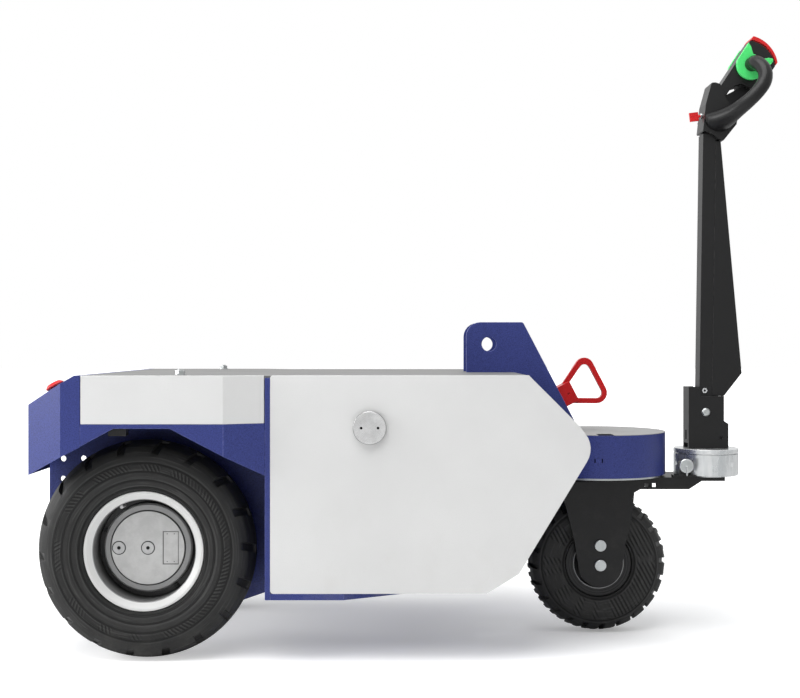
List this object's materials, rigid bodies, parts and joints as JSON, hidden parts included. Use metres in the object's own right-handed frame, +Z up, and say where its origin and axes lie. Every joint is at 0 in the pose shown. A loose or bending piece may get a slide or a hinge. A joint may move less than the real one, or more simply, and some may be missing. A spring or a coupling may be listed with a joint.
{
  "type": "electric tow tractor",
  "caption": "Low pedestrian-controlled electric tow tractor with driven rear wheels, a steered front wheel, a swivelling tilting tiller and a tow pin lug.",
  "frame": {"origin": "on the floor under the middle of the tractor's length and width", "axes": "+X from the driven wheels towards the tiller, +Z up, the tractor is symmetric about the XZ plane"},
  "size_m": [1.4756, 0.696, 1.2381],
  "materials": {
    "paint_blue": "satin powder coat",
    "paint_white": "satin powder coat",
    "paint_black": "satin powder coat",
    "deck_paint": "matte paint",
    "zinc_steel": "zinc plated",
    "turned_aluminium": "turned",
    "rim_paint": "gloss paint",
    "rim_dark": "satin paint",
    "hub_cast": "cast and machined",
    "tyre_rubber": "moulded",
    "dark_cast": "painted",
    "battery_case": "moulded",
    "controller_case": "anodised",
    "head_plastic": "fine grain",
    "green_plastic": "moulded",
    "red_plastic": "moulded",
    "black_plastic": "moulded"
  },
  "bodies": {
    "chassis": {"floor_pan": "paint_blue", "bulkhead": "paint_blue", "well_plate_left": "paint_blue", "well_plate_right": "paint_blue", "fascia": "paint_blue", "arch_skirt_left": "paint_blue", "arch_skirt_right": "paint_blue", "wheel_cover_left": "paint_white", "wheel_cover_right": "paint_white", "cover_brackets": "paint_black", "deck_plate": "deck_paint", "deck_bolts": "zinc_steel", "side_panel_left": "paint_white", "side_panel_right": "paint_white", "panel_locks": "turned_aluminium", "tow_cheek_left": "paint_blue", "tow_cheek_right": "paint_blue", "nose_plate": "paint_blue", "connector_socket": "red_plastic", "head_drum": "paint_blue", "head_cover": "deck_paint", "slew_ring": "zinc_steel", "nose_cover_left": "paint_blue", "nose_cover_right": "paint_blue", "batteries": "battery_case", "motor_controller": "controller_case", "drive_unit_left": "dark_cast", "drive_unit_right": "dark_cast", "estop_base": "black_plastic"},
    "drive_wheel_left": {"tyre_left": "tyre_rubber", "rim_left": "rim_paint", "hub_left": "hub_cast", "hub_fittings_left": "hub_cast"},
    "drive_wheel_right": {"tyre_right": "tyre_rubber", "rim_right": "rim_paint", "hub_right": "hub_cast", "hub_fittings_right": "hub_cast"},
    "steering": {"steering_fork": "paint_black", "inner_race": "zinc_steel", "fork_bolts": "zinc_steel", "plunger_block": "paint_black"},
    "steer_wheel": {"steer_tyre": "tyre_rubber", "steer_rim": "rim_dark", "steer_bearings": "zinc_steel"},
    "turret": {"turret_drum": "zinc_steel", "turret_disc": "zinc_steel", "tiller_bracket": "paint_black", "pivot_pin": "zinc_steel"},
    "turret_lock": {"lock_plunger": "zinc_steel"},
    "tiller": {"tiller_post": "paint_black", "post_nuts": "zinc_steel", "post_cover": "paint_black", "tiller_head": "head_plastic", "handle_loops": "head_plastic", "key_barrel": "zinc_steel"},
    "throttle_wings": {"throttle": "green_plastic"},
    "safety_cap": {"belly_button": "red_plastic"},
    "switch_key": {"key": "red_plastic"},
    "stop_mushroom": {"estop_button": "red_plastic"},
    "connector_plug": {"power_plug": "red_plastic"}
  },
  "joints": [
    {"name": "drive_wheel_left_spin", "type": "hinge", "parent": "chassis", "child": "drive_wheel_left", "pos_m": [-0.52881, 0.232, 0.208], "axis": [0, 1, 0], "continuous": true},
    {"name": "drive_wheel_right_spin", "type": "hinge", "parent": "chassis", "child": "drive_wheel_right", "pos_m": [-0.52881, -0.232, 0.208], "axis": [0, 1, 0], "continuous": true},
    {"name": "steering_swivel", "type": "hinge", "parent": "chassis", "child": "steering", "pos_m": [0.36419, 0, 0.326], "axis": [0, 0, 1], "range_deg": [-90, 90]},
    {"name": "steer_wheel_spin", "type": "hinge", "parent": "steering", "child": "steer_wheel", "pos_m": [0.36419, 0, 0.144], "axis": [0, 1, 0], "continuous": true},
    {"name": "turret_swivel", "type": "hinge", "parent": "steering", "child": "turret", "pos_m": [0.59519, 0, 0.345], "axis": [0, 0, 1], "range_deg": [-20, 20]},
    {"name": "turret_lock_pin", "type": "slide", "parent": "steering", "child": "turret_lock", "axis": [0, 1, 0], "range_m": [0, 0.012]},
    {"name": "tiller_tilt", "type": "hinge", "parent": "turret", "child": "tiller", "pos_m": [0.58949, 0, 0.4565], "axis": [0, 1, 0], "range_deg": [0, 75], "stiffness_Nm_per_rad": 60, "springref_deg": -20.05},
    {"name": "throttle_turn", "type": "hinge", "parent": "tiller", "child": "throttle_wings", "pos_m": [0.68169, 0, 1.17721], "axis": [0, 1, 0], "range_deg": [-35, 35], "stiffness_Nm_per_rad": 0.6},
    {"name": "safety_cap_press", "type": "slide", "parent": "tiller", "child": "safety_cap", "axis": [-0.5498, 0, -0.8353], "range_m": [0, 0.0025], "stiffness_N_per_m": 1500, "springref_m": -0.002},
    {"name": "key_turn", "type": "hinge", "parent": "tiller", "child": "switch_key", "pos_m": [0.58549, 0, 1.07663], "axis": [-0.9922, 0, -0.1245], "range_deg": [0, 90]},
    {"name": "stop_press", "type": "slide", "parent": "chassis", "child": "stop_mushroom", "axis": [0.4932, 0, -0.8699], "range_m": [0, 0.0035], "stiffness_N_per_m": 1500, "springref_m": -0.001},
    {"name": "plug_pull", "type": "slide", "parent": "chassis", "child": "connector_plug", "axis": [0.8862, 0, 0.4633], "range_m": [0, 0.06]}
  ]
}
